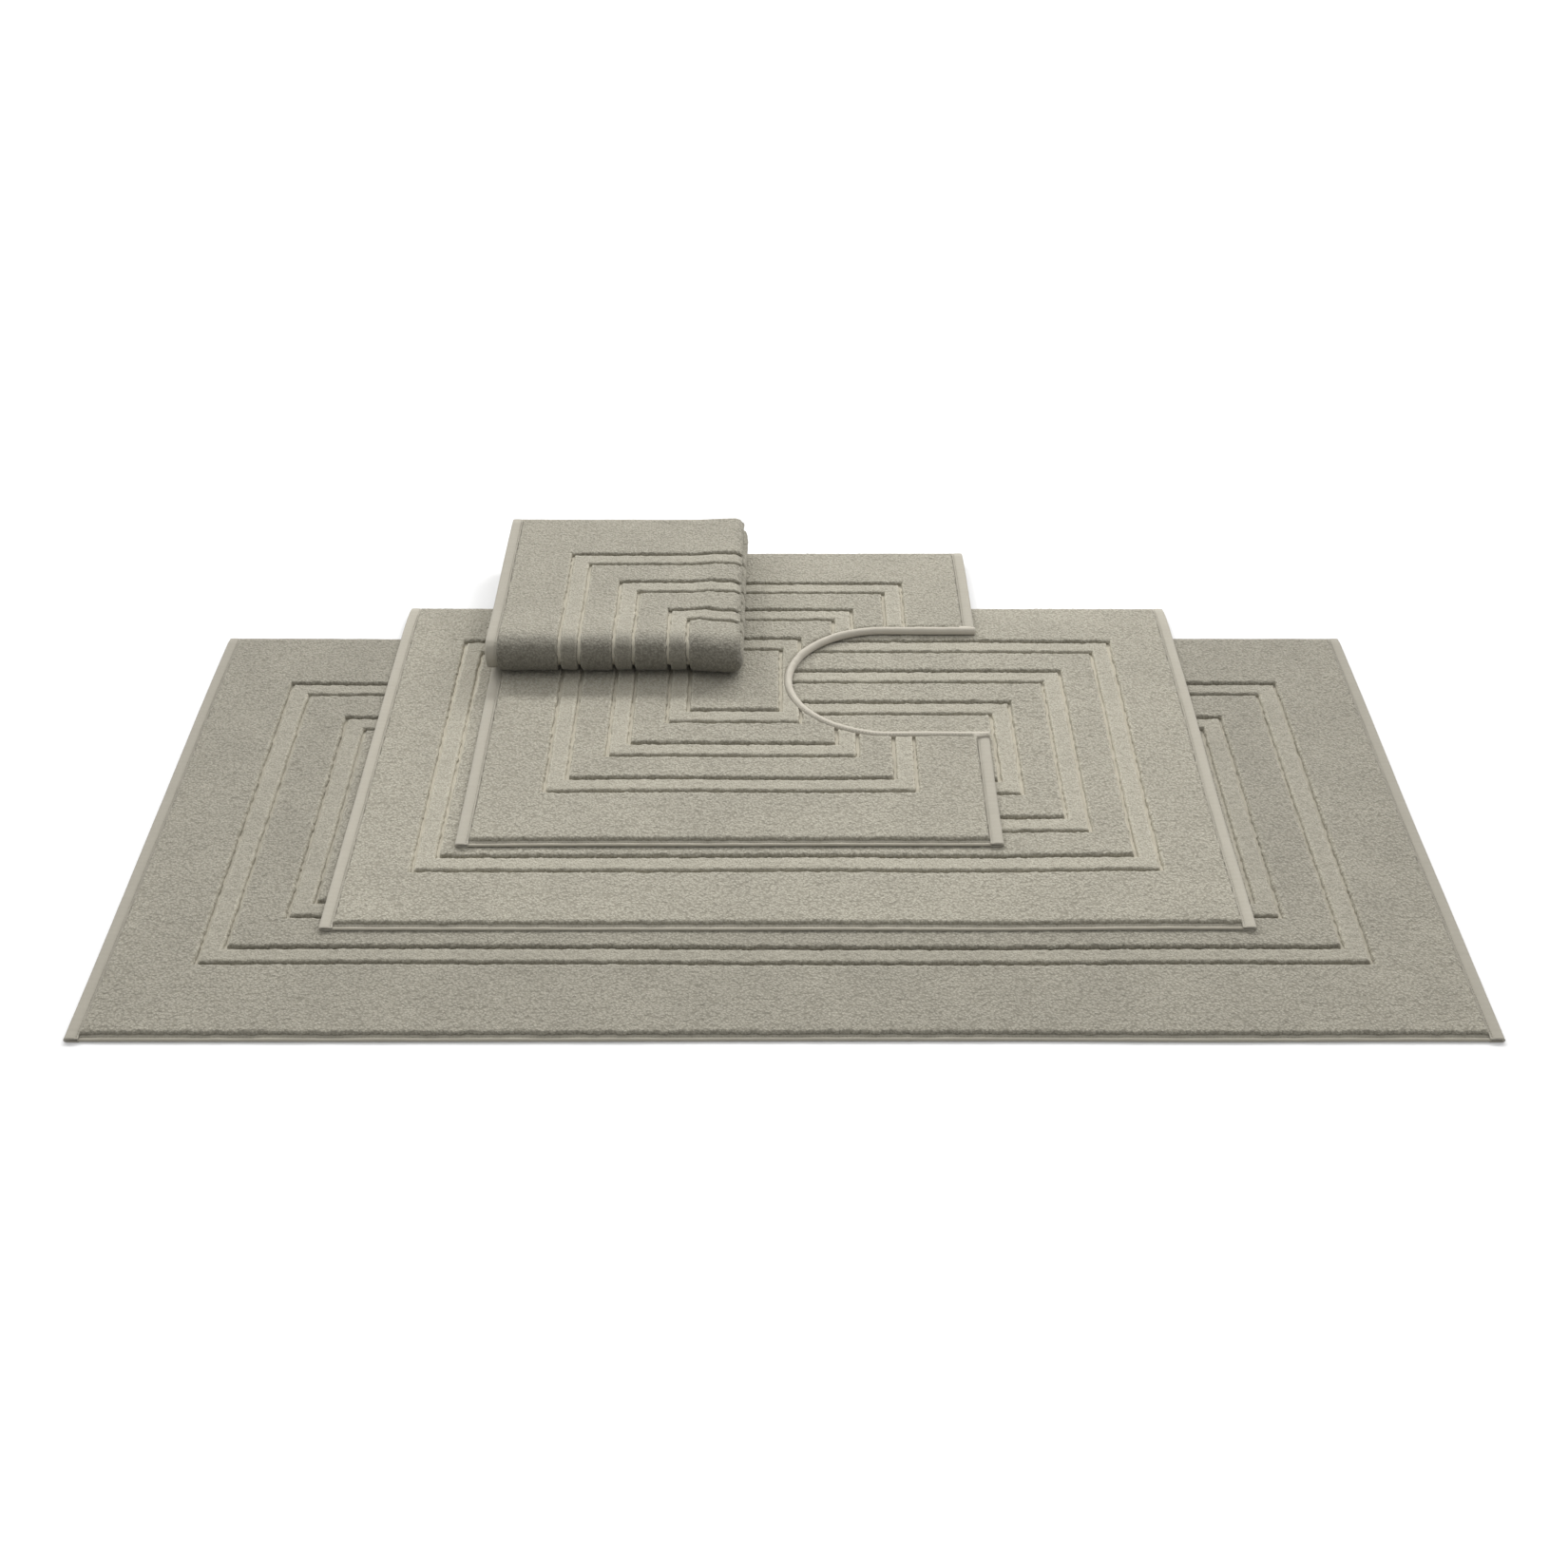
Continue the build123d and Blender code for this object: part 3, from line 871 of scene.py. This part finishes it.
folded = Folded()
folded_looks = palette("folded", bent=True)


def folded_piece(name, shape, material, nodes, slot):
    """A piece that lies across both halves, changing over at the plane between them; it is built
    in place, not attached to either half.
    """
    piece = make(name, *shape, material, None, node=nodes, slot=slot)
    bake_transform(piece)
    return piece


folded_ground = folded_piece("folded_ground_cloth", ground_cloth(folded, FOLDED_GROUND_STEP),
                             folded_looks["weave"], LEAVES, "ground_weave")
folded_pieces = []
for i, field in enumerate(FIELDS):
    shape = pile_field(folded, i, FOLDED_STEP)
    folded_pieces.append(folded_piece(
        f"folded_{field}", shape, folded_looks["band" if field in BANDS else "pile"], LEAVES,
        "terry_pile"))
    mark_side_light(folded_pieces[-1], folded, i, shape[2])
for side, word in ((-1, "left"), (1, "right")):
    folded_pieces.append(folded_piece(
        f"folded_{word}_hem", side_hem(folded, side, folded.y0, folded.y1),
        folded_looks["hem"], SIDE_HEMS, "hem_cotton"))
for side, word in ((-1, "front"), (1, "back")):
    folded_pieces.append(folded_piece(
        f"folded_{word}_hem", end_hem(folded, side), folded_looks["roll"], END_HEMS,
        "hem_cotton"))
folded_pieces.append(folded_piece("folded_hem_stitches", hem_stitches(folded),
                                  folded_looks["thread"], SIDE_HEMS, "stitching_thread"))


# ---------------------------------------------------------------- stage, light and camera

def floor_piece():
    """A large pale floor just under the mats."""
    mesh = bpy.data.meshes.new("floor")
    size, z = 12.0, -0.0002
    corners = [(-size, -size, z), (size, -size, z), (size, size, z), (-size, size, z)]
    mesh.from_pydata(corners, [], [(0, 1, 2, 3)])
    floor = bpy.data.objects.new("floor", mesh)
    bpy.context.scene.collection.objects.link(floor)
    nodes = Nodes("pale_floor")
    nodes.shader.inputs["Base Color"].default_value = (0.75, 0.75, 0.75, 1)
    nodes.shader.inputs["Roughness"].default_value = 0.9
    nodes.shader.inputs["Specular IOR Level"].default_value = 0.1
    mesh.materials.append(nodes.material)


STRIP_STRENGTH = 2.95       # of all its lights together
STRIP_ELEVATION = math.radians(42)
STRIP_SHARES = (0.18, 0.20, 0.24, 0.20, 0.18)
STRIP_SPACING = 0.5         # between neighbours, at a distance of 1


def strip_light():
    """A long soft strip behind the mats, parallel to them: five distant lights in a row."""
    for i, share in enumerate(STRIP_SHARES):
        data = bpy.data.lights.new(f"strip_{i}", "SUN")
        data.energy = STRIP_STRENGTH * share
        data.angle = math.radians(8)
        light = bpy.data.objects.new(f"strip_{i}", data)
        source = Vector((STRIP_SPACING * (i - len(STRIP_SHARES) // 2),
                         math.cos(STRIP_ELEVATION), math.sin(STRIP_ELEVATION)))
        light.rotation_euler = source.to_track_quat("Z", "Y").to_euler()
        bpy.context.scene.collection.objects.link(light)


def softbox():
    """A wide panel above the back edge, so that the mats brighten a little towards the back."""
    data = bpy.data.lights.new("rear_softbox", "AREA")
    data.shape = "RECTANGLE"
    data.size, data.size_y = 1.2, 0.6
    data.energy = 5.0
    light = bpy.data.objects.new("rear_softbox", data)
    light.location = (0.2, 1.45, 0.95)
    aim = Vector((0.1, 0.35, 0)) - light.location
    light.rotation_euler = aim.to_track_quat("-Z", "Y").to_euler()
    bpy.context.scene.collection.objects.link(light)


ROOM_LEVEL = 0.61           # the room's light at the horizon, left and right
ROOM_SLOPE = (0, 0.30, 0.48)    # how it grows towards the back and upwards


def stage():
    """The floor, the lights and the room's soft light."""
    floor_piece()
    strip_light()
    softbox()
    world = bpy.data.worlds.new("studio")
    world.use_nodes = True
    tree = world.node_tree
    # a white room, lit from above and behind, so dimmer low down and towards the camera
    where = tree.nodes.new("ShaderNodeTexCoord").outputs["Generated"]
    dot = tree.nodes.new("ShaderNodeVectorMath")
    dot.operation = "DOT_PRODUCT"
    dot.inputs[1].default_value = ROOM_SLOPE
    tree.links.new(where, dot.inputs[0])
    level = tree.nodes.new("ShaderNodeMath")
    level.operation = "ADD"
    level.inputs[1].default_value = ROOM_LEVEL
    tree.links.new(dot.outputs["Value"], level.inputs[0])
    tree.links.new(level.outputs[0], tree.nodes["Background"].inputs["Strength"])
    tree.nodes["Background"].inputs["Color"].default_value = (1, 1, 1, 1)
    bpy.context.scene.world = world
    bpy.context.scene.view_settings.view_transform = "Standard"


CAMERA_PLACE = (0.0, -1.641, 1.3376)
CAMERA_DOWN = 38.23         # degrees below level
CAMERA_LENS = 43.12


def camera():
    """Above and in front of the stack, looking down at it."""
    data = bpy.data.cameras.new("camera")
    data.sensor_width = 36.0
    data.lens = CAMERA_LENS
    eye = bpy.data.objects.new("camera", data)
    eye.location = CAMERA_PLACE
    eye.rotation_euler = (math.radians(90 - CAMERA_DOWN), 0, 0)
    bpy.context.scene.collection.objects.link(eye)
    bpy.context.scene.camera = eye


stage()
camera()
